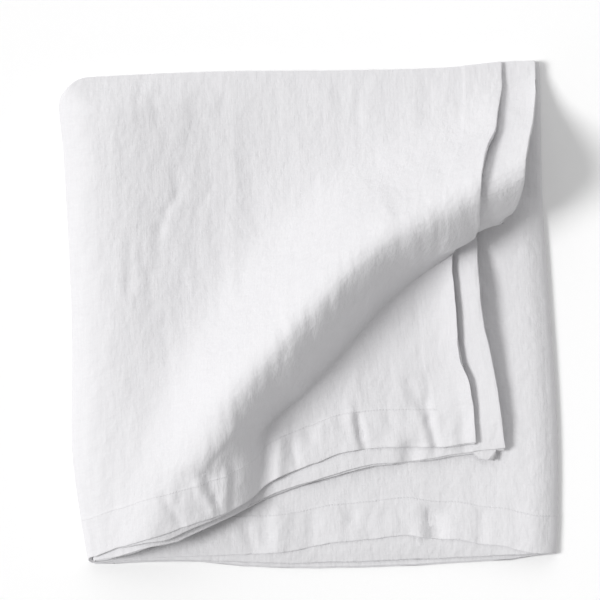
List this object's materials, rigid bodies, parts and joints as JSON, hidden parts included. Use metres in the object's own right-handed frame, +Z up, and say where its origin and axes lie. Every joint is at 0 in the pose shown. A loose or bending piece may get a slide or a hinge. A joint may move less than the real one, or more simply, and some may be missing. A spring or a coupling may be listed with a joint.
{
  "type": "folded linen tablecloth",
  "caption": "Square folded tablecloth of white washed linen with wide hems, its upper half pushed up into a slanting hump.",
  "frame": {"origin": "middle of the folded packet's footprint, on the surface it rests on", "axes": "+Z up; -Y towards the side where the long hems lie one above the other; +X towards the side where the cloth's two ends lie"},
  "size_m": [0.4942, 0.511, 0.1082],
  "materials": {
    "linen": "plain-woven washed linen, undyed white, matt and slightly creased"
  },
  "bodies": {
    "root": {"tablecloth": "linen"}
  },
  "joints": []
}
